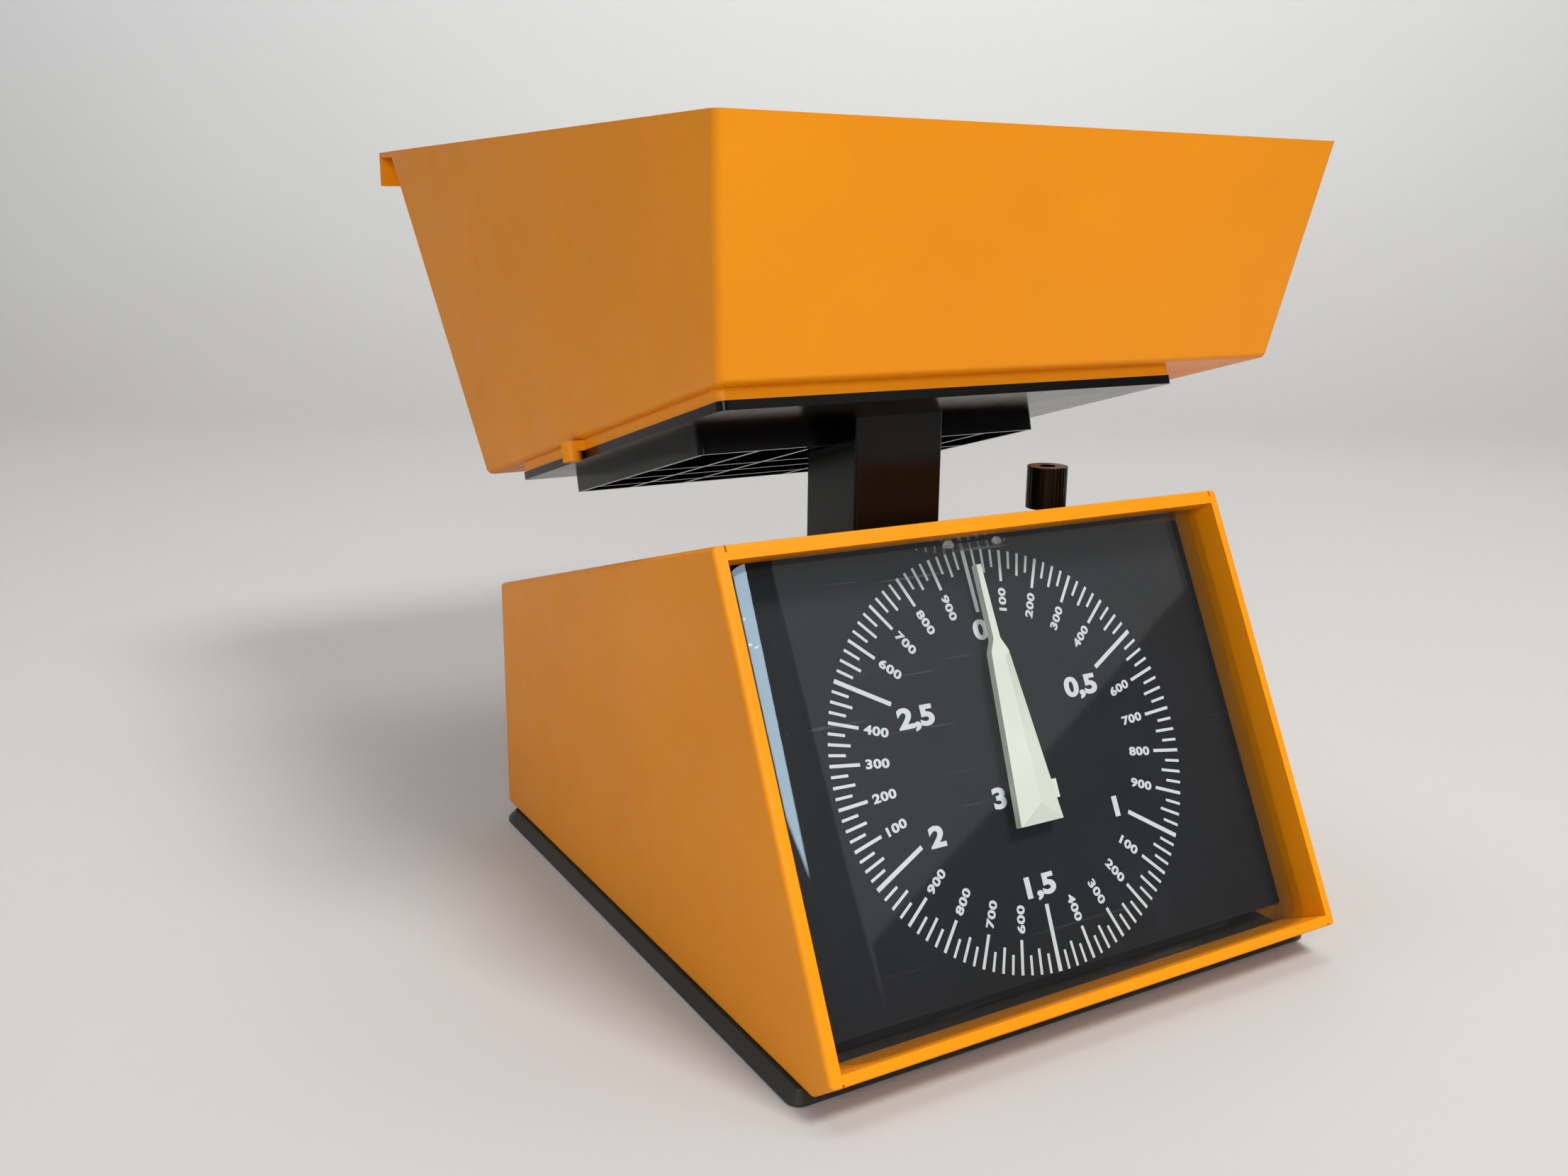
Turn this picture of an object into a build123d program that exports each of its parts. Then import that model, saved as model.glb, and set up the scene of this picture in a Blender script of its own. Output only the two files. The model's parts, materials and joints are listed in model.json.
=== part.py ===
from build123d import *
from math import sin, cos, tan, radians, pi, hypot, atan2, degrees
import os

os.makedirs("parts", exist_ok=True)

# ---------------------------------------------------------------- driving dimensions (mm)
# Frame: origin at the centre of the base's rest face, +Z up, +X right, the dial looks toward -Y.
GAP = 0.3

# housing
half_w = 80.0
front_tilt = 26.76
front_low_y, front_low_z = -106.0, 10.1
front_len = 122.15
top_tilt = 15.5
back_y = 96.5
under_y, under_z = -97.3, 3.5
back_low_z = 3.3
side_wall = 3.2
top_wall = 3.3
lip_low = 2.7
lip_high = 3.6
edge_r = 1.6
edge_r_small = 0.6

# dial, pointer, window
dial_depth = 14.5
dial_s = 62.0
dial_thick = 1.6
dial_half_x = 76.4
dial_low_s, dial_high_s = 7.0, 117.9
window_depth = 1.4
window_wall = 1.6
window_half_x = 76.3
window_low_s, window_high_s = 3.1, 118.1
window_corner_r = 6.0
window_edge_r = 3.0
window_bend, window_bend_r = 32.0, 26.0
pointer_lift = 4.6
pointer_tip_r = 49.8
pointer_neck_r = 26.5
pointer_tail_r = 18.1
pointer_thick = 2.2

# drive
shaft_r = 1.0
module = 0.4
teeth = 11
mesh_back = 40.0
rack_face = 13.0

# platform
plate_half_x = 71.8
plate_front_y, plate_front_z = -39.0, 150.7
plate_len = 139.0
plate_thick = 2.4
tray_half_x = 71.4
tray_high = 3.1
tray_floor = 1.6
lug_r = 2.65
lug_y = 46.0
lug_drop = 2.9
rib_half_x = 56.4
rib_y0, rib_y1 = 3.0, 90.0
rib_high = 5.6
rib_thick = 1.6
column_x, column_y = 28.8, 26.4
column_mid_y = 3.2
column_low_z = 26.0
column_wall = 2.6

# bowl
bowl_mid_x = 16.3
bowl_low_half, bowl_rim_half = 90.0, 96.8
bowl_low_y0, bowl_low_y1 = -41.6, 124.2
bowl_rim_y0, bowl_rim_y1 = -53.6, 197.4
bowl_rim_z = 214.3
bowl_wall = 2.0
lip_reach, lip_drop, lip_wall = 13.2, 11.6, 1.8

# levers and springs
lever_span = 59.8
lever_drop = 7.74
upper_pin_z = 82.0
lower_pin_z = 36.0
pin_r = 1.5
lever_x0, lever_x1 = 16.2, 18.0
spring_x = 26.0
spring_r = 3.6
wire_r = 0.45
yoke_z = 89.0
yoke_thick = 2.0

# zero setting
knob_x, knob_y = 55.9, -6.8
knob_r = 6.0
knob_bore_r = 2.4
knob_top_z = 121.3
knob_high = 12.6
spindle_r = 2.0
post_x = -38.0

# base
base_half_x = 82.8
base_y0, base_y1 = -94.8, 96.0
base_high = 3.0
base_floor = 2.2
screw_x, screw_y0, screw_y1 = 72.6, -70.0, 84.0

# ---------------------------------------------------------------- shared geometry
ft, tt = radians(front_tilt), radians(top_tilt)
front_top_y = front_low_y + front_len * sin(ft)
front_top_z = front_low_z + front_len * cos(ft)
back_top_z = front_top_z - (back_y - front_top_y) * tan(tt)


def front_point(s, depth):
    """Point of the mid plane at distance s up the sloping front and depth behind it, as (y, z)."""
    return (front_low_y + s * sin(ft) + depth * cos(ft), front_low_z + s * cos(ft) - depth * sin(ft))


def front_plane(s, depth):
    """Plane parallel to the front; local x to the right, local y up the slope, local z out of the front."""
    y, z = front_point(s, depth)
    return Plane(origin=(0, y, z), x_dir=(1, 0, 0), z_dir=(0, -cos(ft), sin(ft)))


def top_z(y):
    """Height of the housing's top face above y."""
    return front_top_z - (y - front_top_y) * tan(tt)


def plate_z(y, up=0.0):
    """Height of the platform plate's top face above y, plus a distance up along its normal."""
    return plate_front_z - (y - plate_front_y) * tan(tt) + up / cos(tt)


def slope_plane(y, up=0.0):
    """Plane on the platform's slope; local x to the right, local y down the slope to the back."""
    origin = (0, y + up * sin(tt), plate_z(y) + up * cos(tt))
    return Plane(origin=origin, x_dir=(1, 0, 0), z_dir=(0, sin(tt), cos(tt)))


def save(builder, name):
    builder.part.label = name
    export_step(builder.part, f"parts/{name}.step")


# ---------------------------------------------------------------- housing
with BuildPart() as housing_shell:
    with BuildSketch(Plane.YZ):
        with BuildLine():
            Polyline((front_low_y, front_low_z), (front_top_y, front_top_z), (back_y, back_top_z),
                     (back_y, back_low_z), (under_y, under_z), close=True)
        make_face()
    extrude(amount=half_w, both=True)
    fillet(housing_shell.edges().filter_by(Axis.X, reverse=True), edge_r)
    fillet(housing_shell.edges().filter_by(Axis.X), edge_r_small)
    recess_a = front_point(lip_low, -6)
    recess_b = front_point(lip_low, dial_depth)
    recess_c = front_point(front_len - lip_high, -6)
    recess_d = front_point(front_len - lip_high, 6)
    under_roof_y = recess_d[0] + 2
    with BuildSketch(Plane.YZ):
        with BuildLine():
            Polyline(recess_a, recess_b, (recess_b[0], -5), (back_y - top_wall, -5),
                     (back_y - top_wall, top_z(back_y - top_wall) - top_wall / cos(tt)),
                     (under_roof_y, top_z(under_roof_y) - top_wall / cos(tt)), recess_d, recess_c, close=True)
        make_face()
    extrude(amount=half_w - side_wall, both=True, mode=Mode.SUBTRACT)
    # opening for the column and bearing hole for the spindle
    with Locations((0, column_mid_y, 100)):
        Box(column_x + 1.6, column_y + 1.6, 60, mode=Mode.SUBTRACT)
    with Locations((knob_x, knob_y, 100)):
        Cylinder(spindle_r + 0.35, 60, mode=Mode.SUBTRACT)
    # screw posts on the side walls
    for px in (-screw_x, screw_x):
        for py in (screw_y0, screw_y1):
            with Locations((px, py, base_high + 0.2)):
                Cylinder(4.3, 16, align=(Align.CENTER, Align.CENTER, Align.MIN))
                Cylinder(1.3, 13, align=(Align.CENTER, Align.CENTER, Align.MIN), mode=Mode.SUBTRACT)
    # narrow slit where each strip meets the side walls
    for side in (-1, 1):
        for s in (-1.0, front_len):
            with BuildSketch(front_plane(s, 0)):
                with Locations((side * (half_w - side_wall), 0)):
                    Rectangle(0.5, 3.4)
            extrude(amount=-1.4, mode=Mode.SUBTRACT)
save(housing_shell, "housing_shell")

# ---------------------------------------------------------------- dial plate
with BuildPart() as dial_plate:
    with BuildSketch(front_plane(0, dial_depth)):
        with Locations((0, (dial_low_s + dial_high_s) / 2)):
            RectangleRounded(2 * dial_half_x, dial_high_s - dial_low_s, 1.0)
        with Locations((0, dial_s)):
            Circle(3.2, mode=Mode.SUBTRACT)
    extrude(amount=-dial_thick)
save(dial_plate, "dial_plate")

# ---------------------------------------------------------------- window: clear box, open toward the dial
window_mid_s = (window_low_s + window_high_s) / 2
window_len = window_high_s - window_low_s


def window_section(inset):
    """Section across the window, moved in by inset: flat in the middle, each side bent back in a wide arc."""
    y, z = front_point(window_high_s - inset, dial_depth)
    section_plane = Plane(origin=(0, y, z), x_dir=(1, 0, 0), z_dir=(0, -sin(ft), -cos(ft)))
    high = dial_depth - window_depth - inset
    bend_r, edge_r = window_bend_r - inset, window_edge_r - inset / 2
    lean = sin(radians(window_bend))
    flat_x = window_half_x - inset - bend_r * lean - edge_r * (1 - lean)
    with BuildSketch(section_plane) as section:
        with BuildLine():
            Line((0, high), (flat_x, high))
            bend = CenterArc((flat_x, high - bend_r), bend_r, 90, -window_bend)
            edge_mid = bend @ 1 - (bend @ 1 - Vector(flat_x, high - bend_r)).normalized() * edge_r
            edge = CenterArc((edge_mid.X, edge_mid.Y), edge_r, 90 - window_bend, window_bend - 90)
            Polyline(edge @ 1, ((edge @ 1).X, 0), (0, 0))
            mirror(about=Plane.YZ)
        make_face()
    return section.sketch


with BuildPart() as window_hollow:
    extrude(window_section(window_wall), amount=window_len - 2 * window_wall)
    with BuildSketch(front_plane(window_mid_s, dial_depth)):
        RectangleRounded(2 * (window_half_x - window_wall), window_len - 2 * window_wall,
                         window_corner_r - window_wall)
    extrude(amount=dial_depth, mode=Mode.INTERSECT)

with BuildPart() as window:
    extrude(window_section(0), amount=window_len)
    with BuildSketch(front_plane(window_mid_s, dial_depth)):
        RectangleRounded(2 * window_half_x, window_len, window_corner_r)
    extrude(amount=dial_depth, mode=Mode.INTERSECT)
    add(window_hollow.part, mode=Mode.SUBTRACT)
save(window, "window")

# ---------------------------------------------------------------- pointer: faceted ridge, up the slope
pointer_depth = dial_depth - pointer_lift
with BuildPart() as pointer:
    with BuildSketch(front_plane(dial_s, pointer_depth)):
        with BuildLine():
            Polyline((-0.75, pointer_tip_r), (0.75, pointer_tip_r), (1.1, pointer_neck_r + 3.5),
                     (2.8, pointer_neck_r), (6.8, -pointer_tail_r), (-6.8, -pointer_tail_r),
                     (-2.8, pointer_neck_r), (-1.1, pointer_neck_r + 3.5), close=True)
        make_face()
    extrude(amount=-pointer_thick)
    # ridge above the tail part, highest along the middle
    with BuildSketch(front_plane(dial_s, pointer_depth)):
        with BuildLine():
            Polyline((2.8, pointer_neck_r), (6.8, -pointer_tail_r), (-6.8, -pointer_tail_r),
                     (-2.8, pointer_neck_r), close=True)
        make_face()
    with BuildSketch(front_plane(dial_s, pointer_depth - 1.5)):
        with BuildLine():
            Polyline((0.12, pointer_neck_r - 2), (0.12, -pointer_tail_r + 5), (-0.12, -pointer_tail_r + 5),
                     (-0.12, pointer_neck_r - 2), close=True)
        make_face()
    loft()
    # small tab on the right edge
    with BuildSketch(front_plane(dial_s, pointer_depth)):
        with Locations((6.1, -10.4)):
            Rectangle(2.6, 4.8)
    extrude(amount=-1.3)
    with BuildSketch(front_plane(dial_s, pointer_depth - 0.9)):
        Circle(shaft_r + 1.2)
    extrude(amount=-pointer_thick - 0.2)
    with BuildSketch(front_plane(dial_s, pointer_depth - 0.4)):
        Circle(shaft_r)
    extrude(amount=-8, mode=Mode.SUBTRACT)
save(pointer, "pointer")

# ---------------------------------------------------------------- shaft, pinion, bushes
mesh_depth = dial_depth + mesh_back
cheek = 13.0
cheek_thick = 1.5
with BuildPart() as pointer_shaft:
    with BuildSketch(front_plane(dial_s, pointer_depth - 0.3)):
        Circle(shaft_r)
    extrude(amount=-(mesh_depth + cheek + cheek_thick + 1.5 - pointer_depth + 0.3))
    for collar_depth in (mesh_depth - cheek + 0.6, mesh_depth + cheek - 1.5):
        with BuildSketch(front_plane(dial_s, collar_depth)):
            Circle(1.7)
        extrude(amount=-0.9)
save(pointer_shaft, "pointer_shaft")

pitch_r = module * teeth / 2
tooth_pitch = pi * module
with BuildPart() as pinion:
    with BuildSketch(front_plane(dial_s, mesh_depth - 2)):
        Circle(pitch_r - 1.2 * module)
        with PolarLocations(0, teeth):
            Polygon((pitch_r - 1.35 * module, -0.36), (pitch_r, -0.27), (pitch_r + module, -0.12),
                    (pitch_r + module, 0.12), (pitch_r, 0.27), (pitch_r - 1.35 * module, 0.36), align=None)
        Circle(shaft_r, mode=Mode.SUBTRACT)
    extrude(amount=-4)
save(pinion, "pinion")

for name, depth in (("front_bush", mesh_depth - cheek), ("rear_bush", mesh_depth + cheek + cheek_thick)):
    with BuildPart() as bush:
        with BuildSketch(front_plane(dial_s, depth)):
            Circle(1.9)
            Circle(shaft_r + 0.06, mode=Mode.SUBTRACT)
        extrude(amount=cheek_thick)
    save(bush, name)

# ---------------------------------------------------------------- rack and its arm, on the column
rack_low, rack_high = -5, 19
rack_near = mesh_depth - 10.0
with BuildPart() as rack:
    with BuildSketch(front_plane(dial_s, rack_near)):
        with Locations((pitch_r + 1.35 * module + 1.6, (rack_low + rack_high) / 2)):
            Rectangle(3.2, rack_high - rack_low)
        for k in range(-3, 15):
            with Locations((pitch_r, (k + 0.5) * tooth_pitch)):
                Polygon((-module, -0.12), (0, -0.27), (1.4 * module, -0.37), (1.4 * module, 0.37), (0, 0.27),
                        (-module, 0.12), align=None)
    extrude(amount=-rack_face)
save(rack, "rack")

rack_back_x = pitch_r + 1.35 * module + 3.2
arm_front_y = column_mid_y - column_y / 2
arm_mid = front_point(dial_s + 7, mesh_depth - 3.5)
with BuildPart() as rack_arm:
    with BuildSketch(Plane.YZ.offset(rack_back_x)):
        with BuildLine():
            Polyline((arm_front_y, arm_mid[1] - 9), (arm_front_y, arm_mid[1] + 9),
                     (arm_mid[0] - 3, arm_mid[1] + 7), (arm_mid[0] - 3, arm_mid[1] - 7), close=True)
        make_face()
    extrude(amount=1.5)
    with Locations((rack_back_x + 3.4, arm_front_y - 0.75, arm_mid[1])):
        Box(6.8, 1.5, 18)
save(rack_arm, "rack_arm")

# ---------------------------------------------------------------- movement bracket: two cheeks on a foot
bracket_low_z = base_floor + 3.0
cheek_near, cheek_far = mesh_depth - cheek - cheek_thick, mesh_depth + cheek + cheek_thick
with BuildPart() as movement_bracket:
    with BuildSketch(Plane.YZ.offset(-11.5)):
        with BuildLine():
            Polyline(front_point(dial_s + 6, cheek_near), front_point(dial_s + 6, cheek_far),
                     front_point(dial_s - 6, cheek_far), (-20, bracket_low_z), (-44, bracket_low_z),
                     front_point(dial_s - 6, cheek_near), close=True)
        make_face()
    extrude(amount=1.5)
    for depth in (cheek_near, mesh_depth + cheek):
        with BuildSketch(front_plane(dial_s, depth)):
            with Locations((-3.75, 0)):
                Rectangle(15.5, 12)
            Circle(1.9, mode=Mode.SUBTRACT)
        extrude(amount=-cheek_thick)
    with Locations((-18.5, -32, bracket_low_z + 0.75)):
        Box(17, 24, 1.5)
save(movement_bracket, "movement_bracket")

# ---------------------------------------------------------------- column and platform
with BuildPart() as column:
    with BuildSketch(Plane.XY.offset(column_low_z)):
        with Locations((0, column_mid_y)):
            RectangleRounded(column_x, column_y, 1.2)
    extrude(amount=130)
    with BuildSketch(Plane.XY.offset(column_low_z - 1)):
        with Locations((0, column_mid_y)):
            Rectangle(column_x - 2 * column_wall, column_y - 2 * column_wall)
    extrude(amount=120 - column_low_z, mode=Mode.SUBTRACT)
    with BuildSketch(Plane.YZ):
        with BuildLine():
            Polyline((-60, plate_z(-60, -plate_thick)), (60, plate_z(60, -plate_thick)), (60, 220),
                     (-60, 220), close=True)
        make_face()
    extrude(amount=40, both=True, mode=Mode.SUBTRACT)
    for z in (upper_pin_z, lower_pin_z):
        with Locations((0, column_mid_y, z)):
            Cylinder(pin_r, 60, rotation=(0, 90, 0), mode=Mode.SUBTRACT)
    for x in (-7, 7):
        with BuildSketch(slope_plane(column_mid_y, -plate_thick)):
            with Locations((x, 0)):
                Circle(1.4)
        extrude(amount=-9, mode=Mode.SUBTRACT)
save(column, "column")

plate_mid_y = plate_front_y + plate_len / 2 * cos(tt)
with BuildPart() as platform_plate:
    with BuildSketch(slope_plane(plate_mid_y, -plate_thick)):
        RectangleRounded(2 * plate_half_x, plate_len, 2.2)
    extrude(amount=plate_thick)
    for x in (-7, 7):
        with BuildSketch(slope_plane(column_mid_y, 0)):
            with Locations((x, 0)):
                Circle(3.1)
        extrude(amount=-1.4, mode=Mode.SUBTRACT)
        with BuildSketch(slope_plane(column_mid_y, 0)):
            with Locations((x, 0)):
                Circle(1.7)
        extrude(amount=-6, mode=Mode.SUBTRACT)
save(platform_plate, "platform_plate")

for name, x in (("column_screw_left", -7), ("column_screw_right", 7)):
    with BuildPart() as column_screw:
        with BuildSketch(slope_plane(column_mid_y, -0.1)):
            with Locations((x, 0)):
                Circle(2.9)
        extrude(amount=-1.3)
        with BuildSketch(slope_plane(column_mid_y, -0.1)):
            with Locations((x, 0)):
                Circle(1.35)
        extrude(amount=-10)
        with BuildSketch(slope_plane(column_mid_y, -0.1)):
            with Locations((x, 0)):
                Rectangle(3.6, 0.6)
                Rectangle(0.6, 3.6)
        extrude(amount=-0.7, mode=Mode.SUBTRACT)
    save(column_screw, name)

rib_mid_y = (rib_y0 + rib_y1) / 2
rib_len = (rib_y1 - rib_y0) / cos(tt)
with BuildPart() as rib_frame:
    with BuildSketch(slope_plane(rib_mid_y, -plate_thick)):
        RectangleRounded(2 * rib_half_x, rib_len, 2)
        Rectangle(2 * (rib_half_x - rib_thick), rib_len - 2 * rib_thick, mode=Mode.SUBTRACT)
        for k in (-1, 1):
            with Locations((k * 19, 0)):
                Rectangle(rib_thick, rib_len - 1)
            with Locations((k * 38, 0)):
                Rectangle(rib_thick, rib_len - 1)
        for k in (-1, 0, 1):
            with Locations((0, 10 + k * 20)):
                Rectangle(2 * rib_half_x - 1, rib_thick)
    extrude(amount=-rib_high)
    with Locations((0, column_mid_y, plate_z(column_mid_y) - 6)):
        Box(column_x + 1, column_y + 1, 30, mode=Mode.SUBTRACT)
save(rib_frame, "rib_frame")

with BuildPart() as platform_tray:
    with BuildSketch(slope_plane(plate_mid_y, 0)):
        RectangleRounded(2 * tray_half_x, plate_len - 0.8, 2.0)
    extrude(amount=tray_high)
    with BuildSketch(slope_plane(plate_mid_y, tray_high)):
        RectangleRounded(2 * (tray_half_x - 3), plate_len - 6.8, 2.0)
    extrude(amount=-(tray_high - tray_floor), mode=Mode.SUBTRACT)
    with BuildSketch(slope_plane(plate_mid_y, tray_floor)):
        for k in (-1, 1):
            with Locations((k * 24, 0)):
                Rectangle(2.0, plate_len - 5)
            with Locations((0, k * 23)):
                Rectangle(2 * tray_half_x - 4, 2.0)
    extrude(amount=tray_high - tray_floor)
    # side lugs, hanging beside the plate
    for side in (-1, 1):
        lug_x = side * (plate_half_x + lug_r + GAP)
        with BuildSketch(slope_plane(lug_y, tray_high - 0.2)):
            with Locations((lug_x, 0)):
                Circle(lug_r)
            with Locations((side * (tray_half_x + 1), 0)):
                Rectangle(5, 2 * lug_r)
        extrude(amount=-(tray_high - 0.2))
        with BuildSketch(slope_plane(lug_y, 0.1)):
            with Locations((lug_x, 0)):
                Circle(lug_r)
        extrude(amount=-lug_drop)
save(platform_tray, "platform_tray")

# ---------------------------------------------------------------- bowl
tray_top = tray_high


def bowl_ring(low_half, y0, y1, up):
    """Corners of a rectangle in plan, laid on the tray's slope at a distance up."""
    z0, z1 = plate_z(y0, tray_top + up), plate_z(y1, tray_top + up)
    return [(bowl_mid_x - low_half, y0, z0), (bowl_mid_x + low_half, y0, z0), (bowl_mid_x + low_half, y1, z1),
            (bowl_mid_x - low_half, y1, z1)]


def rim_ring(rim_half, y0, y1, z):
    return [(bowl_mid_x - rim_half, y0, z), (bowl_mid_x + rim_half, y0, z), (bowl_mid_x + rim_half, y1, z),
            (bowl_mid_x - rim_half, y1, z)]


def tub(low, high):
    """Solid between a low and a high ring of four corners; the four sides are ruled."""
    sides = []
    for k in range(4):
        m = (k + 1) % 4
        low_edge = Edge.make_line(low[k], low[m])
        high_edge = Edge.make_line(high[k], high[m])
        sides.append(Face.make_surface_from_curves(low_edge, high_edge))
    bottom = Face(Wire.make_polygon([Vector(*p) for p in low], close=True))
    top = Face(Wire.make_polygon([Vector(*p) for p in high], close=True))
    return Solid(Shell([*sides, bottom, top]))


bowl_outer = tub(bowl_ring(bowl_low_half, bowl_low_y0, bowl_low_y1, 0),
                 rim_ring(bowl_rim_half, bowl_rim_y0, bowl_rim_y1, bowl_rim_z))
rise = (bowl_rim_half - bowl_low_half) / 60
bowl_inner = tub(bowl_ring(bowl_low_half - bowl_wall, bowl_low_y0 + bowl_wall,
                           bowl_low_y1 - 1.3 * bowl_wall, bowl_wall),
                 rim_ring(bowl_rim_half - bowl_wall + rise, bowl_rim_y0 + bowl_wall - 0.2,
                          bowl_rim_y1 - 1.2 * bowl_wall + 0.6, bowl_rim_z + 1))
with BuildPart() as bowl:
    add(bowl_outer)
    fillet(bowl.edges().filter_by(lambda e: abs(e.center().Z - bowl_rim_z) > 1), 2.2)
    add(bowl_inner, mode=Mode.SUBTRACT)
    # inverted-L lip along the back rim
    with BuildSketch(Plane.YZ.offset(bowl_mid_x)):
        with BuildLine():
            Polyline((bowl_rim_y1 - 2.3, bowl_rim_z), (bowl_rim_y1 + lip_reach, bowl_rim_z),
                     (bowl_rim_y1 + lip_reach, bowl_rim_z - lip_drop),
                     (bowl_rim_y1 + lip_reach - lip_wall, bowl_rim_z - lip_drop),
                     (bowl_rim_y1 + lip_reach - lip_wall, bowl_rim_z - lip_wall),
                     (bowl_rim_y1 - 2.3, bowl_rim_z - lip_wall), close=True)
        make_face()
    extrude(amount=bowl_rim_half - 0.4, both=True)
save(bowl, "bowl")

# ---------------------------------------------------------------- levers, pins, steel frame
pivot_y = column_mid_y + lever_span
rest_angle = degrees(atan2(lever_drop, lever_span))


def make_lever(name, pin_z, arm_high):
    """Two parallel arms from the rear pivot to the column, joined by a cross strip near the pivot."""
    pivot_z = pin_z - lever_drop
    along_arm = (0, -cos(radians(rest_angle)), sin(radians(rest_angle)))
    side = Plane(origin=(0, pivot_y, pivot_z), x_dir=along_arm, z_dir=(-1, 0, 0))
    reach = hypot(lever_span, lever_drop)
    with BuildPart() as lever:
        for x in (-lever_x1, lever_x0):
            with BuildSketch(side.offset(-x)):
                with Locations((reach / 2, 0)):
                    SlotOverall(reach + 2 * arm_high, 2 * arm_high)
                Circle(pin_r + 0.06, mode=Mode.SUBTRACT)
                with Locations((reach - 0.25, 0)):
                    SlotOverall(2 * (pin_r + 0.12) + 0.7, 2 * (pin_r + 0.12), mode=Mode.SUBTRACT)
            extrude(amount=-(lever_x1 - lever_x0))
        with BuildSketch(side.offset(-lever_x0 - 0.2)):
            with Locations((30, -arm_high + 0.8)):
                Rectangle(16, 1.6)
        extrude(amount=2 * lever_x0 + 0.4)
    save(lever, name)


make_lever("upper_lever", upper_pin_z, 3.4)
make_lever("lower_lever", lower_pin_z, 3.4)

for name, y, z, half in (("upper_front_pin", column_mid_y, upper_pin_z, 19.4),
                         ("lower_front_pin", column_mid_y, lower_pin_z, 29.0),
                         ("upper_rear_pin", pivot_y, upper_pin_z - lever_drop, 22.0),
                         ("lower_rear_pin", pivot_y, lower_pin_z - lever_drop, 22.0)):
    with BuildPart() as pin:
        with Locations((0, y, z)):
            Cylinder(pin_r, 2 * half, rotation=(0, 90, 0))
        chamfer(pin.edges(), 0.3)
    save(pin, name)

frame_low_z = base_floor + 3.0
cheek_top_z = upper_pin_z - lever_drop + 4
with BuildPart() as steel_frame:
    with Locations((0, pivot_y, frame_low_z + 0.75)):
        Box(56, 26, 1.5)
    for side in (-1, 1):
        with Locations((side * 20.25, pivot_y, frame_low_z)):
            Box(1.5, 16, cheek_top_z - frame_low_z, align=(Align.CENTER, Align.CENTER, Align.MIN))
    for z in (upper_pin_z - lever_drop, lower_pin_z - lever_drop):
        with Locations((0, pivot_y, z)):
            Cylinder(pin_r, 60, rotation=(0, 90, 0), mode=Mode.SUBTRACT)
    with Locations((0, pivot_y + 7.25, frame_low_z + 22)):
        Box(39.4, 1.5, 14)
save(steel_frame, "steel_frame")

# ---------------------------------------------------------------- anchor yoke, springs, zero setting
spring_top_z = yoke_z - 4.2
with BuildPart() as anchor_yoke:
    with BuildSketch(Plane.XY.offset(yoke_z)):
        with Locations((12, column_mid_y)):
            RectangleRounded(106, 40, 3)
        with Locations((0, column_mid_y)):
            Rectangle(40, 30, mode=Mode.SUBTRACT)
        with Locations((knob_x, knob_y)):
            Circle(3.4, mode=Mode.SUBTRACT)
        with Locations((post_x, column_mid_y)):
            Circle(2.08, mode=Mode.SUBTRACT)
    extrude(amount=yoke_thick)
    for side in (-1, 1):
        with Locations((side * 32, column_mid_y, yoke_z - 6)):
            Box(1.6, 7, 6.2, align=(Align.CENTER, Align.CENTER, Align.MIN))
        with Locations((side * 27.5, column_mid_y, spring_top_z)):
            Cylinder(pin_r, 9, rotation=(0, 90, 0))
save(anchor_yoke, "anchor_yoke")

coil_low = lower_pin_z + 5.0
coil_pitch = 1.5
coil_turns = 26
coil_high = coil_low + coil_turns * coil_pitch
for name, x in (("left_spring", -spring_x), ("right_spring", spring_x)):
    with BuildPart() as spring:
        with BuildLine():
            coil_path = Helix(pitch=coil_pitch, height=coil_high - coil_low, radius=spring_r,
                              center=(x, column_mid_y, coil_low))
        with BuildSketch(Plane(origin=coil_path @ 0, z_dir=coil_path % 0)):
            Circle(wire_r)
        sweep(path=coil_path, is_frenet=True)
        ring_r = pin_r + wire_r + 1.0
        for ring_z, end_z in ((lower_pin_z + 0.95, coil_low), (spring_top_z - 0.95, coil_high)):
            toward = 1 if end_z > ring_z else -1
            leg_from = ring_z + toward * ring_r
            with Locations((x, column_mid_y, ring_z)):
                Torus(ring_r, wire_r, rotation=(0, 90, 0))
            with Locations((x, column_mid_y, (leg_from + end_z) / 2)):
                Cylinder(wire_r + 0.1, abs(end_z - leg_from) + 0.9)
            with Locations((x + spring_r / 2, column_mid_y, end_z)):
                Cylinder(wire_r + 0.05, spring_r + 0.3, rotation=(0, 90, 0))
    save(spring, name)

with BuildPart() as spindle_nut:
    with BuildSketch(Plane.XY.offset(yoke_z - 2)):
        with Locations((knob_x, knob_y)):
            RegularPolygon(4.6, 6)
    extrude(amount=2)
    with BuildSketch(Plane.XY.offset(yoke_z - 0.1)):
        with Locations((knob_x, knob_y)):
            Circle(3.4)
    extrude(amount=yoke_thick + 0.1)
    with Locations((knob_x, knob_y, yoke_z)):
        Cylinder(spindle_r + 0.06, 20, mode=Mode.SUBTRACT)
save(spindle_nut, "spindle_nut")

knob_low_z = knob_top_z - knob_high
roof_z = top_z(knob_y) - top_wall / cos(tt)
with BuildPart() as zero_spindle:
    with Locations((knob_x, knob_y, 80)):
        Cylinder(spindle_r, knob_low_z + 6 - 80, align=(Align.CENTER, Align.CENTER, Align.MIN))
    with Locations((knob_x, knob_y, roof_z - 4.4)):
        Cylinder(3.4, 1.6, align=(Align.CENTER, Align.CENTER, Align.MIN))
save(zero_spindle, "zero_spindle")

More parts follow.
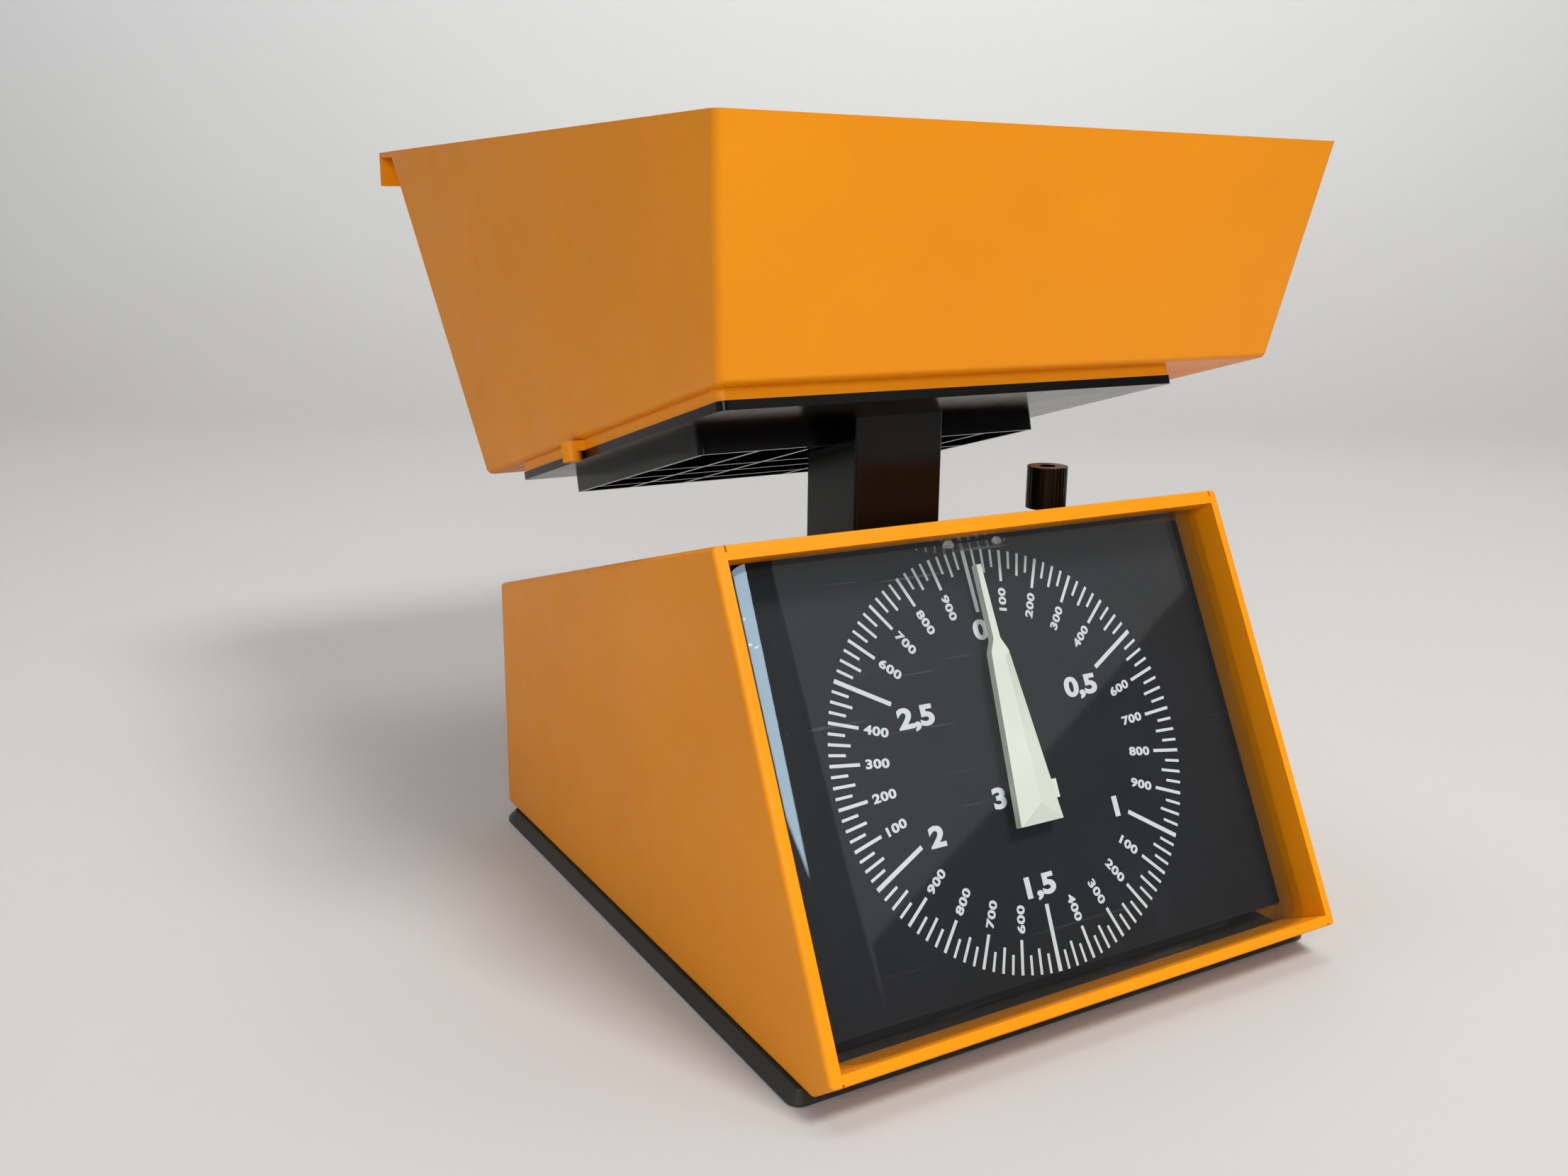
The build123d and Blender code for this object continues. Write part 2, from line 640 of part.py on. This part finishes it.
with BuildPart() as zero_knob:
    with BuildSketch(Plane.XY.offset(knob_low_z)):
        with Locations((knob_x, knob_y)):
            Circle(knob_r - 0.35)
            with PolarLocations(knob_r - 0.35, 30):
                Rectangle(0.7, 0.62)
    extrude(amount=knob_high)
    with Locations((knob_x, knob_y, knob_top_z)):
        Cylinder(knob_bore_r, 5.0, align=(Align.CENTER, Align.CENTER, Align.MAX), mode=Mode.SUBTRACT)
    with Locations((knob_x, knob_y, knob_low_z)):
        Cylinder(spindle_r, 12.0, mode=Mode.SUBTRACT)
save(zero_knob, "zero_knob")

with BuildPart() as guide_post:
    with Locations((post_x, column_mid_y, base_floor)):
        Cylinder(2.0, 95.6 - base_floor, align=(Align.CENTER, Align.CENTER, Align.MIN))
        Cylinder(4.0, 1.6, align=(Align.CENTER, Align.CENTER, Align.MIN))
save(guide_post, "guide_post")

# ---------------------------------------------------------------- base tray, feet, screws
with BuildPart() as base_tray:
    with BuildSketch(Plane.XY):
        with Locations((0, (base_y0 + base_y1) / 2)):
            Rectangle(2 * base_half_x, base_y1 - base_y0)
    extrude(amount=base_high)
    fillet(base_tray.edges().filter_by(Axis.Z).group_by(Axis.Y)[0], 3.6)
    fillet(base_tray.edges().filter_by(Axis.Z).group_by(Axis.Y)[-1], 9.0)
    chamfer(base_tray.faces().sort_by(Axis.Z)[-1].edges(), 2.5)
    with BuildSketch(Plane.XY.offset(base_floor)):
        with Locations((0, 0)):
            Rectangle(130, 168)
    extrude(amount=5, mode=Mode.SUBTRACT)
    # upstand that enters the housing
    with BuildSketch(Plane.XY.offset(base_floor - 0.2)):
        with Locations((0, 3)):
            RectangleRounded(134, 172, 3)
            RectangleRounded(130, 168, 2, mode=Mode.SUBTRACT)
    extrude(amount=7)
    # raised pads under the bracket and the frame
    for px, py, dx, dy in ((-18.5, -32, 19, 26), (0, pivot_y, 58, 28)):
        with Locations((px, py, base_floor - 0.2)):
            Box(dx, dy, 3.2, align=(Align.CENTER, Align.CENTER, Align.MIN))
    for px in (-screw_x, screw_x):
        for py in (screw_y0, screw_y1):
            with Locations((px, py, 0)):
                Cylinder(1.8, 20, mode=Mode.SUBTRACT)
                Cylinder(3.6, 1.8, align=(Align.CENTER, Align.CENTER, Align.MIN), mode=Mode.SUBTRACT)
            with Locations((px - (14 if px > 0 else -14), py, 0)):
                Cylinder(5.2, 1.4, align=(Align.CENTER, Align.CENTER, Align.MIN), mode=Mode.SUBTRACT)
save(base_tray, "base_tray")

for side, px in (("left", -screw_x), ("right", screw_x)):
    for end, py in (("front", screw_y0), ("back", screw_y1)):
        with BuildPart() as foot:
            with Locations((px - (14 if px > 0 else -14), py, 0)):
                Cylinder(5.0, 1.4, align=(Align.CENTER, Align.CENTER, Align.MIN))
        save(foot, f"foot_{end}_{side}")
        with BuildPart() as base_screw:
            with Locations((px, py, 0.3)):
                Cylinder(3.1, 1.5, align=(Align.CENTER, Align.CENTER, Align.MIN))
                Cylinder(1.25, 14, align=(Align.CENTER, Align.CENTER, Align.MIN))
                Box(3.6, 0.6, 1.4, mode=Mode.SUBTRACT)
                Box(0.6, 3.6, 1.4, mode=Mode.SUBTRACT)
        save(base_screw, f"base_screw_{end}_{side}")
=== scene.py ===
import json
from math import sin, cos, radians, pi
import bpy
import bmesh
from mathutils import Matrix, Vector


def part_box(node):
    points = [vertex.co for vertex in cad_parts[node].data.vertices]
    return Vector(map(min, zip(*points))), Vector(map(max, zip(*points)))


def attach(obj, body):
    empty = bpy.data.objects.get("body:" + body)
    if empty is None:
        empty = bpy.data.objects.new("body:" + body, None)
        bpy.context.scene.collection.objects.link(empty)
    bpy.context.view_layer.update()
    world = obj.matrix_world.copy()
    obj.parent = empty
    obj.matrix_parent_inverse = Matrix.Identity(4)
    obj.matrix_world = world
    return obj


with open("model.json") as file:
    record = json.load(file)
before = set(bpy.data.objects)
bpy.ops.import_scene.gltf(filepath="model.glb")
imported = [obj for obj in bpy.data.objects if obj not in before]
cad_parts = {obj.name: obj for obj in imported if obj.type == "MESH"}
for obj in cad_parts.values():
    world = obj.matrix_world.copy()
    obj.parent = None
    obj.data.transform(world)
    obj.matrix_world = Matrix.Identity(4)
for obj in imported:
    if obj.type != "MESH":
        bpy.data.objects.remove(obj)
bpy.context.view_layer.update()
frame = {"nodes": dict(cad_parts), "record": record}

MM = 0.001
NODES = frame["nodes"]

# ------------------------------------------------------------------ the sloping dial plane
FRONT_TILT = radians(26.76)
DIAL_THICK = 1.6 * MM
DIAL_LOW_TO_CENTRE = 55.0 * MM
WINDOW_LIFT = 13.1 * MM
OUT = Vector((0, -cos(FRONT_TILT), sin(FRONT_TILT)))
UP = Vector((0, sin(FRONT_TILT), cos(FRONT_TILT)))
plate_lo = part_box("dial_plate")[0]
dial_foot = Vector((0, plate_lo[1], plate_lo[2] + DIAL_THICK * sin(FRONT_TILT)))
DIAL_CENTRE = dial_foot + UP * DIAL_LOW_TO_CENTRE


def dial_matrix(x, y, lift, turn=0.0):
    """Places a flat thing on the dial: x and y in mm from its centre, y up the slope; lift in metres."""
    base = Matrix(((1, 0, 0, 0), (0, UP[1], OUT[1], 0), (0, UP[2], OUT[2], 0), (0, 0, 0, 1)))
    place = Matrix.Translation(DIAL_CENTRE + Vector((x * MM, 0, 0)) + UP * (y * MM) + OUT * lift)
    return place @ base @ Matrix.Rotation(turn, 4, "Z")


def link_object(name, data):
    obj = bpy.data.objects.new(name, data)
    bpy.context.scene.collection.objects.link(obj)
    return obj


def mesh_object(name, bm, material):
    """Turns bm into an object of the scene and frees it."""
    mesh = bpy.data.meshes.new(name)
    bm.to_mesh(mesh)
    bm.free()
    mesh.materials.append(material)
    return link_object(name, mesh)


def round_angles(count):
    return [2 * pi * k / count for k in range(count)]


def join_rings(bm, rings):
    """Smooth bands of faces between neighbouring closed rings of vertices."""
    for low, high in zip(rings, rings[1:]):
        for k in range(len(low)):
            m = (k + 1) % len(low)
            bm.faces.new((low[k], low[m], high[m], high[k])).smooth = True


# ------------------------------------------------------------------ materials
PATCH_SCALE, GLOSS_SCALE, WAVE_SCALE = 14.0, 60.0, 22.0
WAVE_DEPTH = 0.3 * MM
MIRROR_FACE_ON, MIRROR_EDGE_ON, MIRROR_RISE = 0.035, 0.4, 4.5
SCRATCH_SHARE, SMEAR_SHARE = 0.10, 0.06


def new_material(name):
    mat = bpy.data.materials.new(name)
    mat.use_nodes = True
    tree = mat.node_tree
    return mat, tree, tree.nodes["Principled BSDF"]


def noise(tree, scale, detail=2.0, rough=0.5, stretch=(1, 1, 1)):
    coord = tree.nodes.new("ShaderNodeTexCoord")
    mapping = tree.nodes.new("ShaderNodeMapping")
    mapping.inputs["Scale"].default_value = stretch
    tex = tree.nodes.new("ShaderNodeTexNoise")
    tex.inputs["Scale"].default_value = scale
    tex.inputs["Detail"].default_value = detail
    tex.inputs["Roughness"].default_value = rough
    tree.links.new(coord.outputs["Object"], mapping.inputs["Vector"])
    tree.links.new(mapping.outputs["Vector"], tex.inputs["Vector"])
    return tex.outputs["Fac"]


def remap(tree, value, low, high, out_low, out_high):
    node = tree.nodes.new("ShaderNodeMapRange")
    node.inputs["From Min"].default_value = low
    node.inputs["From Max"].default_value = high
    node.inputs["To Min"].default_value = out_low
    node.inputs["To Max"].default_value = out_high
    tree.links.new(value, node.inputs["Value"])
    return node.outputs["Result"]


def calculate(tree, operation, a, b, clamp=False):
    """Math node on a, a socket, and b, a socket or a number."""
    node = tree.nodes.new("ShaderNodeMath")
    node.operation = operation
    node.use_clamp = clamp
    tree.links.new(a, node.inputs[0])
    if isinstance(b, float):
        node.inputs[1].default_value = b
    else:
        tree.links.new(b, node.inputs[1])
    return node.outputs["Value"]


def blend_colour(tree, fac, a, b):
    node = tree.nodes.new("ShaderNodeMix")
    node.data_type = "RGBA"
    node.inputs["A"].default_value = (*a, 1)
    node.inputs["B"].default_value = (*b, 1)
    tree.links.new(fac, node.inputs["Factor"])
    return node.outputs["Result"]


def bump(tree, height, distance, strength, normal=None):
    node = tree.nodes.new("ShaderNodeBump")
    node.inputs["Distance"].default_value = distance
    node.inputs["Strength"].default_value = strength
    tree.links.new(height, node.inputs["Height"])
    if normal is not None:
        tree.links.new(normal, node.inputs["Normal"])
    return node.outputs["Normal"]


def moulded(name, a, b, rough, grain=2600.0, grain_depth=0.03, metal=0.0, stretch=(1, 1, 1),
            specular=0.5, alpha=1.0):
    """Plastic or metal: patchy colour from a to b, fine grain (depth in mm), a long wave, uneven gloss."""
    mat, tree, shader = new_material(name)
    patch = remap(tree, noise(tree, PATCH_SCALE, 3.0, 0.6), 0.3, 0.7, 0.0, 1.0)
    tree.links.new(blend_colour(tree, patch, a, b), shader.inputs["Base Color"])
    gloss = noise(tree, GLOSS_SCALE, 4.0, 0.65, stretch)
    tree.links.new(remap(tree, gloss, 0.3, 0.7, rough * 0.85, rough * 1.2), shader.inputs["Roughness"])
    wave = bump(tree, noise(tree, WAVE_SCALE, 1.0), WAVE_DEPTH, 0.35)
    fine = noise(tree, grain, 2.0, 0.5, stretch)
    tree.links.new(bump(tree, fine, grain_depth * MM, 0.5, wave), shader.inputs["Normal"])
    shader.inputs["Metallic"].default_value = metal
    shader.inputs["Specular IOR Level"].default_value = specular
    shader.inputs["Alpha"].default_value = alpha
    return mat


def clear_plastic(name):
    """Clear moulded cover: see-through, mirrors more at the edges, with fine scratches and dull smears."""
    mat, tree, shader = new_material(name)
    tree.nodes.remove(shader)
    out = tree.nodes["Material Output"]
    through = tree.nodes.new("ShaderNodeBsdfTransparent")
    through.inputs["Color"].default_value = (0.93, 0.945, 0.95, 1)
    gloss = tree.nodes.new("ShaderNodeBsdfPrincipled")
    gloss.inputs["Base Color"].default_value = (0.95, 0.97, 1.0, 1)
    gloss.inputs["Metallic"].default_value = 1.0
    gloss.inputs["Roughness"].default_value = 0.035
    tree.links.new(bump(tree, noise(tree, 16.0, 1.0), 0.4 * MM, 0.25), gloss.inputs["Normal"])
    # the share of mirror is the same from both sides of each wall: low face on, rising steeply at the edge
    facing = tree.nodes.new("ShaderNodeLayerWeight")
    facing.inputs["Blend"].default_value = 0.5
    steep = calculate(tree, "POWER", facing.outputs["Facing"], MIRROR_RISE)
    mirror = remap(tree, steep, 0.0, 1.0, MIRROR_FACE_ON, MIRROR_EDGE_ON)
    streaks = noise(tree, 130.0, 2.0, 0.5, (0.12, 3.4, 3.4))
    scratch = remap(tree, streaks, 0.70, 0.74, 0.0, SCRATCH_SHARE)
    smear = remap(tree, noise(tree, 30.0, 5.0, 0.7), 0.62, 0.80, 0.0, SMEAR_SHARE)
    share = calculate(tree, "ADD", mirror, calculate(tree, "ADD", scratch, smear), clamp=True)
    mix = tree.nodes.new("ShaderNodeMixShader")
    tree.links.new(share, mix.inputs["Fac"])
    tree.links.new(through.outputs["BSDF"], mix.inputs[1])
    tree.links.new(gloss.outputs["BSDF"], mix.inputs[2])
    tree.links.new(mix.outputs["Shader"], out.inputs["Surface"])
    return mat


ORANGE = moulded("orange_moulded", (0.80, 0.262, 0.002), (0.87, 0.290, 0.003), 0.40, specular=0.22)
BLACK = moulded("black_moulded", (0.002, 0.0019, 0.0019), (0.004, 0.0038, 0.0037), 0.19, 1800.0, 0.01,
                specular=0.24)
BASE_BLACK = moulded("base_moulded", (0.030, 0.028, 0.022), (0.042, 0.040, 0.032), 0.50, 1500.0, 0.05,
                     specular=0.35)
DIAL = moulded("dial_ground", (0.008, 0.008, 0.0095), (0.012, 0.012, 0.0135), 0.55, 4200.0, 0.02,
               specular=0.25)
CREAM = moulded("cream_moulded", (0.80, 0.83, 0.70), (0.86, 0.89, 0.77), 0.42, 2200.0)
PRINT = moulded("dial_print", (0.72, 0.74, 0.74), (0.82, 0.84, 0.84), 0.5, 5200.0, 0.01)
WHITE = moulded("white_moulded", (0.74, 0.74, 0.70), (0.82, 0.82, 0.78), 0.42)
DROP = moulded("clear_drop", (0.30, 0.30, 0.29), (0.38, 0.38, 0.37), 0.25, alpha=0.22)
STEEL = moulded("zinc_steel", (0.52, 0.52, 0.54), (0.66, 0.66, 0.67), 0.34, 900.0, metal=1.0,
                stretch=(1, 1, 7))
SPRING = moulded("spring_steel", (0.40, 0.40, 0.42), (0.52, 0.52, 0.53), 0.28, metal=1.0)
BRASS = moulded("turned_brass", (0.72, 0.50, 0.20), (0.80, 0.60, 0.28), 0.30, metal=1.0, stretch=(1, 1, 12))
RUBBER = moulded("foot_rubber", (0.018, 0.018, 0.018), (0.030, 0.030, 0.030), 0.8, 1100.0, 0.08)
CLEAR = clear_plastic("clear_cover")

BY_SLOT = {"orange_plastic": ORANGE, "black_plastic": BLACK, "dial_black": DIAL, "clear": CLEAR,
           "cream_plastic": CREAM, "white_plastic": WHITE, "steel": STEEL, "spring_steel": SPRING,
           "brass": BRASS, "rubber": RUBBER}
for part in frame["record"]["subparts"]:
    node = NODES[part["node"]]
    finish = BASE_BLACK if part["node"] == "base_tray" else BY_SLOT[part["material_slot"]]
    node.data.materials.clear()
    node.data.materials.append(finish)

# soft moulded edges, widths in mm
EDGE_WIDTHS = {"platform_tray": 0.45, "platform_plate": 0.4, "rib_frame": 0.25, "column": 0.3,
               "base_tray": 0.3, "pointer": 0.14, "bowl": 0.35, "zero_knob": 0.12}
for name, width in EDGE_WIDTHS.items():
    bevel = NODES[name].modifiers.new("soft_edge", "BEVEL")
    bevel.width = width * MM
    bevel.segments = 2
    bevel.limit_method = "ANGLE"
    bevel.angle_limit = radians(35)


# ------------------------------------------------------------------ printed dial
def add_mesh(name, bm, material, body):
    piece = mesh_object(name, bm, material)
    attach(piece, body)


PRINT_LIFT = 0.03 * MM
PRINT_THICK = 0.05 * MM
RING_R = 54.78
FULL_GRAMS = 3000
MARK_SIZES = ((500, 16.7, 1.15), (100, 8.5, 0.85), (50, 6.3, 0.75), (25, 4.8, 0.72))  # grams, long, wide
HALF_KILO_ANGLES = (-0.8, 61.1, 123.3, 182.4, 243.5, 299.1, 359.2)


def dial_angle(grams):
    """Clockwise degrees from up the slope. The graduation is uneven: even only between half kilos."""
    k = min(int(grams // 500), 5)
    first, last = HALF_KILO_ANGLES[k], HALF_KILO_ANGLES[k + 1]
    return first + (last - first) * (grams - 500 * k) / 500


def slab(bm, matrix, x0, x1, y0, y1, thick):
    corners = [(x0, y0), (x1, y0), (x1, y1), (x0, y1)]
    low = [bm.verts.new(matrix @ Vector((x * MM, y * MM, 0))) for x, y in corners]
    high = [bm.verts.new(matrix @ Vector((x * MM, y * MM, thick))) for x, y in corners]
    bm.faces.new(low[::-1])
    bm.faces.new(high)
    for i in range(4):
        j = (i + 1) % 4
        bm.faces.new((low[i], low[j], high[j], high[i]))


marks = bmesh.new()
for grams in range(0, FULL_GRAMS, MARK_SIZES[-1][0]):
    length, width = next((long, wide) for every, long, wide in MARK_SIZES if grams % every == 0)
    place = dial_matrix(0, 0, PRINT_LIFT, -radians(dial_angle(grams)))
    slab(marks, place, -width / 2, width / 2, RING_R - length, RING_R, PRINT_THICK)
add_mesh("dial_marks", marks, PRINT, "base")


FONT_CAP = 0.70    # a figure's height as a share of the font's size


def figure(bm, text, matrix, cap, weight, spacing, widen):
    """Adds a line of figures to bm: centred, cap mm high, thickened by weight mm and stretched by widen."""
    curve = bpy.data.curves.new("figure", "FONT")
    curve.body = text
    curve.size = cap * MM / FONT_CAP
    curve.offset = weight * MM
    curve.space_character = spacing
    curve.align_x = "CENTER"
    curve.align_y = "CENTER"
    curve.extrude = PRINT_THICK / 2
    curve.resolution_u = 6
    obj = link_object("figure", curve)
    bpy.context.view_layer.update()
    mesh = bpy.data.meshes.new_from_object(obj.evaluated_get(bpy.context.evaluated_depsgraph_get()))
    xs = [v.co.x for v in mesh.vertices]
    ys = [v.co.y for v in mesh.vertices]
    centre = Vector(((min(xs) + max(xs)) / 2, (min(ys) + max(ys)) / 2, 0))
    mesh.transform(matrix @ Matrix.Diagonal((widen, 1, 1, 1)) @ Matrix.Translation(-centre))
    bm.from_mesh(mesh)
    bpy.data.objects.remove(obj)
    bpy.data.curves.remove(curve)
    bpy.data.meshes.remove(mesh)


LIFT = PRINT_LIFT + PRINT_THICK / 2
KILO_STYLE = {"cap": 4.9, "weight": 0.30, "spacing": 1.0, "widen": 1.30}
GRAM_STYLE = {"cap": 2.15, "weight": 0.12, "spacing": 1.08, "widen": 1.42}
GRAM_RING_R = 41.3
KILO_LABELS = (("0", -1.0, 33.4), ("0,5", 26.7, 13.9), ("1", 28.2, -18.7), ("1,5", -2.0, -33.6),
               ("2", -29.0, -15.4), ("2,5", -27.0, 13.9), ("3", -8.0, -9.8), ("kg", 2.6, -9.8))

numerals = bmesh.new()
for text, x, y in KILO_LABELS:
    figure(numerals, text, dial_matrix(x, y, LIFT), **KILO_STYLE)
for grams in range(0, FULL_GRAMS, 100):
    if grams % 500 == 0:
        continue
    angle = dial_angle(grams) % 360
    around = radians(angle)
    turn = pi / 2 - around if angle < 180 else -pi / 2 - around
    place = dial_matrix(GRAM_RING_R * sin(around), GRAM_RING_R * cos(around), LIFT, turn)
    figure(numerals, str(grams % 1000), place, **GRAM_STYLE)
add_mesh("dial_numerals", numerals, PRINT, "base")


# ------------------------------------------------------------------ two clear drops near the window's top
DROPS = ((-14.3, 54.2, 1.75, 1.15, 0.5), (0.8, 53.8, 1.6, 1.1, 0.45))
DROP_RINGS, DROP_AROUND, DROP_SAG = 6, 20, 0.18


def drop(bm, x, y, half_x, half_y, high):
    """Low round dome on the window's face, sizes in mm, fuller toward its lower side."""
    place = dial_matrix(x, y, WINDOW_LIFT)
    rows = []
    for i in range(DROP_RINGS):
        up = pi / 2 * i / DROP_RINGS
        row = []
        for a in round_angles(DROP_AROUND):
            sag = 1.0 - DROP_SAG * sin(a) * cos(up)
            point = (half_x * cos(a) * cos(up) * sag, half_y * sin(a) * cos(up), high * sin(up) * sag)
            row.append(bm.verts.new(place @ (Vector(point) * MM)))
        rows.append(row)
    top = bm.verts.new(place @ Vector((0, 0, high * MM)))
    join_rings(bm, rows)
    for k in range(DROP_AROUND):
        bm.faces.new((rows[-1][k], rows[-1][(k + 1) % DROP_AROUND], top)).smooth = True
    bm.faces.new(rows[0][::-1])


drops = bmesh.new()
for sizes in DROPS:
    drop(drops, *sizes)
add_mesh("window_drops", drops, DROP, "base")

# ------------------------------------------------------------------ stage
AZIMUTH, PITCH, ROLL = radians(30.33), radians(14.11), radians(-0.58)
WALL_AWAY, WALL_TOP, SWEEP_R, SWEEP_STEPS = 1.0, 3.0, 0.5, 10
STAGE_FRONT, STAGE_HALF, STAGE_Z = -3.0, 3.5, -0.0002
ROOM_HOLE_R, ROOM_R, ROOM_AROUND = 0.5, 3.3, 96
ROOM_Z, ROOM_TOP = -0.0012, 4.0


def paper():
    """Matt pale paper with painted light: lighter where it rises into the wall, as if the wall were better
    lit.
    """
    mat, tree, shader = new_material("pale_paper")
    coord = tree.nodes.new("ShaderNodeTexCoord")
    axes = tree.nodes.new("ShaderNodeSeparateXYZ")
    tree.links.new(coord.outputs["Object"], axes.inputs["Vector"])
    # painted light: the colour blends from a darker floor tone to a lighter wall tone with height, standing
    # in for the wall catching more light
    height = remap(tree, axes.outputs["Z"], 0.0, SWEEP_R, 0.0, 1.0)
    patch = remap(tree, noise(tree, 3.0, 3.0), 0.3, 0.7, -0.02, 0.02)
    share = calculate(tree, "ADD", height, patch)
    colour = blend_colour(tree, share, (0.47, 0.465, 0.455), (0.74, 0.75, 0.75))
    tree.links.new(colour, shader.inputs["Base Color"])
    shader.inputs["Roughness"].default_value = 0.75
    return mat


PAPER = paper()


def backdrop():
    """Floor that curves up into a wall behind the object, square to the camera's azimuth."""
    bm = bmesh.new()
    profile = [(STAGE_FRONT, 0.0), (WALL_AWAY, 0.0)]
    for k in range(1, SWEEP_STEPS + 1):
        a = radians(90 / SWEEP_STEPS * k)
        profile.append((WALL_AWAY + SWEEP_R * sin(a), SWEEP_R - SWEEP_R * cos(a)))
    profile.append((WALL_AWAY + SWEEP_R, WALL_TOP))
    rows = [[bm.verts.new((x, y, z + STAGE_Z)) for y, z in profile] for x in (-STAGE_HALF, STAGE_HALF)]
    for k in range(len(profile) - 1):
        bm.faces.new((rows[0][k], rows[1][k], rows[1][k + 1], rows[0][k + 1])).smooth = True
    bm.transform(Matrix.Rotation(-AZIMUTH, 4, "Z"))
    obj = mesh_object("backdrop", bm, PAPER)


def room():
    """Round pale room around the object, which only the camera sees, so that no view ends in the dark."""
    bm = bmesh.new()
    angles = round_angles(ROOM_AROUND)
    rings = []
    for radius, z in ((ROOM_HOLE_R, ROOM_Z), (ROOM_R, ROOM_Z), (ROOM_R, ROOM_TOP)):
        rings.append([bm.verts.new((radius * cos(a), radius * sin(a), z)) for a in angles])
    join_rings(bm, rings)
    obj = mesh_object("room", bm, PAPER)
    for ray in ("visible_diffuse", "visible_glossy", "visible_transmission", "visible_shadow"):
        setattr(obj, ray, False)


backdrop()
room()


# ------------------------------------------------------------------ light
def softbox(name, place, target, size, power, colour):
    light = bpy.data.lights.new(name, "AREA")
    light.shape = "RECTANGLE"
    light.size, light.size_y = size
    light.energy = power
    light.color = colour
    obj = link_object(name, light)
    obj.location = place
    obj.rotation_mode = "QUATERNION"
    obj.rotation_quaternion = (Vector(target) - Vector(place)).to_track_quat("-Z", "Y")
    obj.visible_camera = False
    return obj


softbox("key", (0.35, -0.95, 1.65), (0, 0, 0.1), (0.55, 0.45), 27, (1.0, 0.975, 0.93))
fill = softbox("left_fill", (-0.72, -1.02, 0.66), (-0.05, -0.05, 0.08), (0.6, 0.5), 8.5, (0.93, 0.96, 1.0))
fill.visible_glossy = False
softbox("left_wall", (-1.6, 0.35, 0.75), (0, 0, 0.1), (1.3, 1.2), 1.5, (0.90, 0.95, 1.0))
softbox("top", (0.25, 0.45, 1.9), (0, 0.05, 0), (1.2, 1.2), 8, (1.0, 0.99, 0.97))
softbox("wall_wash", (0.2, 0.3, 1.9), (0.75, 1.3, 0.7), (1.8, 0.6), 16, (1.0, 0.99, 0.98))
# a bright window that shows only as a reflection: from this camera, in the clear cover's left side
glare = softbox("window_glare", (-0.80, -1.00, 0.80), (-0.05, -0.05, 0.08), (0.72, 0.44), 8.5,
                (0.66, 0.86, 1.0))
glare.visible_diffuse = False


def reflection_card(name, low_left, low_right, high, target, power, colour):
    """Light that shows only as a reflection; its lower edge runs from low_left to low_right."""
    low_left, low_right = Vector(low_left), Vector(low_right)
    along = low_right - low_left
    middle = (low_left + low_right) / 2
    axis_x = along.normalized()
    toward = Vector(target) - middle
    axis_z = (axis_x * toward.dot(axis_x) - toward).normalized()
    axis_y = axis_z.cross(axis_x)
    obj = softbox(name, middle, target, (along.length, high), power, colour)
    obj.rotation_mode = "XYZ"
    turn = Matrix((axis_x, axis_y, axis_z)).transposed().to_4x4()
    obj.matrix_world = Matrix.Translation(middle + axis_y * high / 2) @ turn
    obj.visible_diffuse = False


# a dim wall whose slanting lower edge crosses the window's reflection
reflection_card("pale_wall", (0.81, -1.82, 0.59), (1.59, -1.12, 0.955), 0.9, (0, -0.08, 0.06), 1.15,
                (1.0, 0.98, 0.93))

world = bpy.data.worlds.new("studio")
bpy.context.scene.world = world
world.use_nodes = True
sky = world.node_tree.nodes["Background"]
sky.inputs["Color"].default_value = (0.90, 0.93, 0.97, 1)
sky.inputs["Strength"].default_value = 0.16

# ------------------------------------------------------------------ camera
CAMERA_PLACE = (-0.22832, -0.33713, 0.19052)
camera = bpy.data.cameras.new("camera")
camera.sensor_fit = "HORIZONTAL"
camera.sensor_width = 36.0
camera.lens = 33.196
camera.clip_start, camera.clip_end = 0.01, 20
cam = link_object("camera", camera)
forward = Vector((sin(AZIMUTH) * cos(PITCH), cos(AZIMUTH) * cos(PITCH), -sin(PITCH)))
right = Vector((cos(AZIMUTH), -sin(AZIMUTH), 0))
down = forward.cross(right)
axis_x = right * cos(ROLL) + down * sin(ROLL)
axis_y = right * sin(ROLL) - down * cos(ROLL)
camera_turn = Matrix((axis_x, axis_y, -forward)).transposed().to_4x4()
cam.matrix_world = Matrix.Translation(CAMERA_PLACE) @ camera_turn
bpy.context.scene.camera = cam

bpy.context.scene.view_settings.view_transform = "Standard"
bpy.context.scene.view_settings.look = "None"
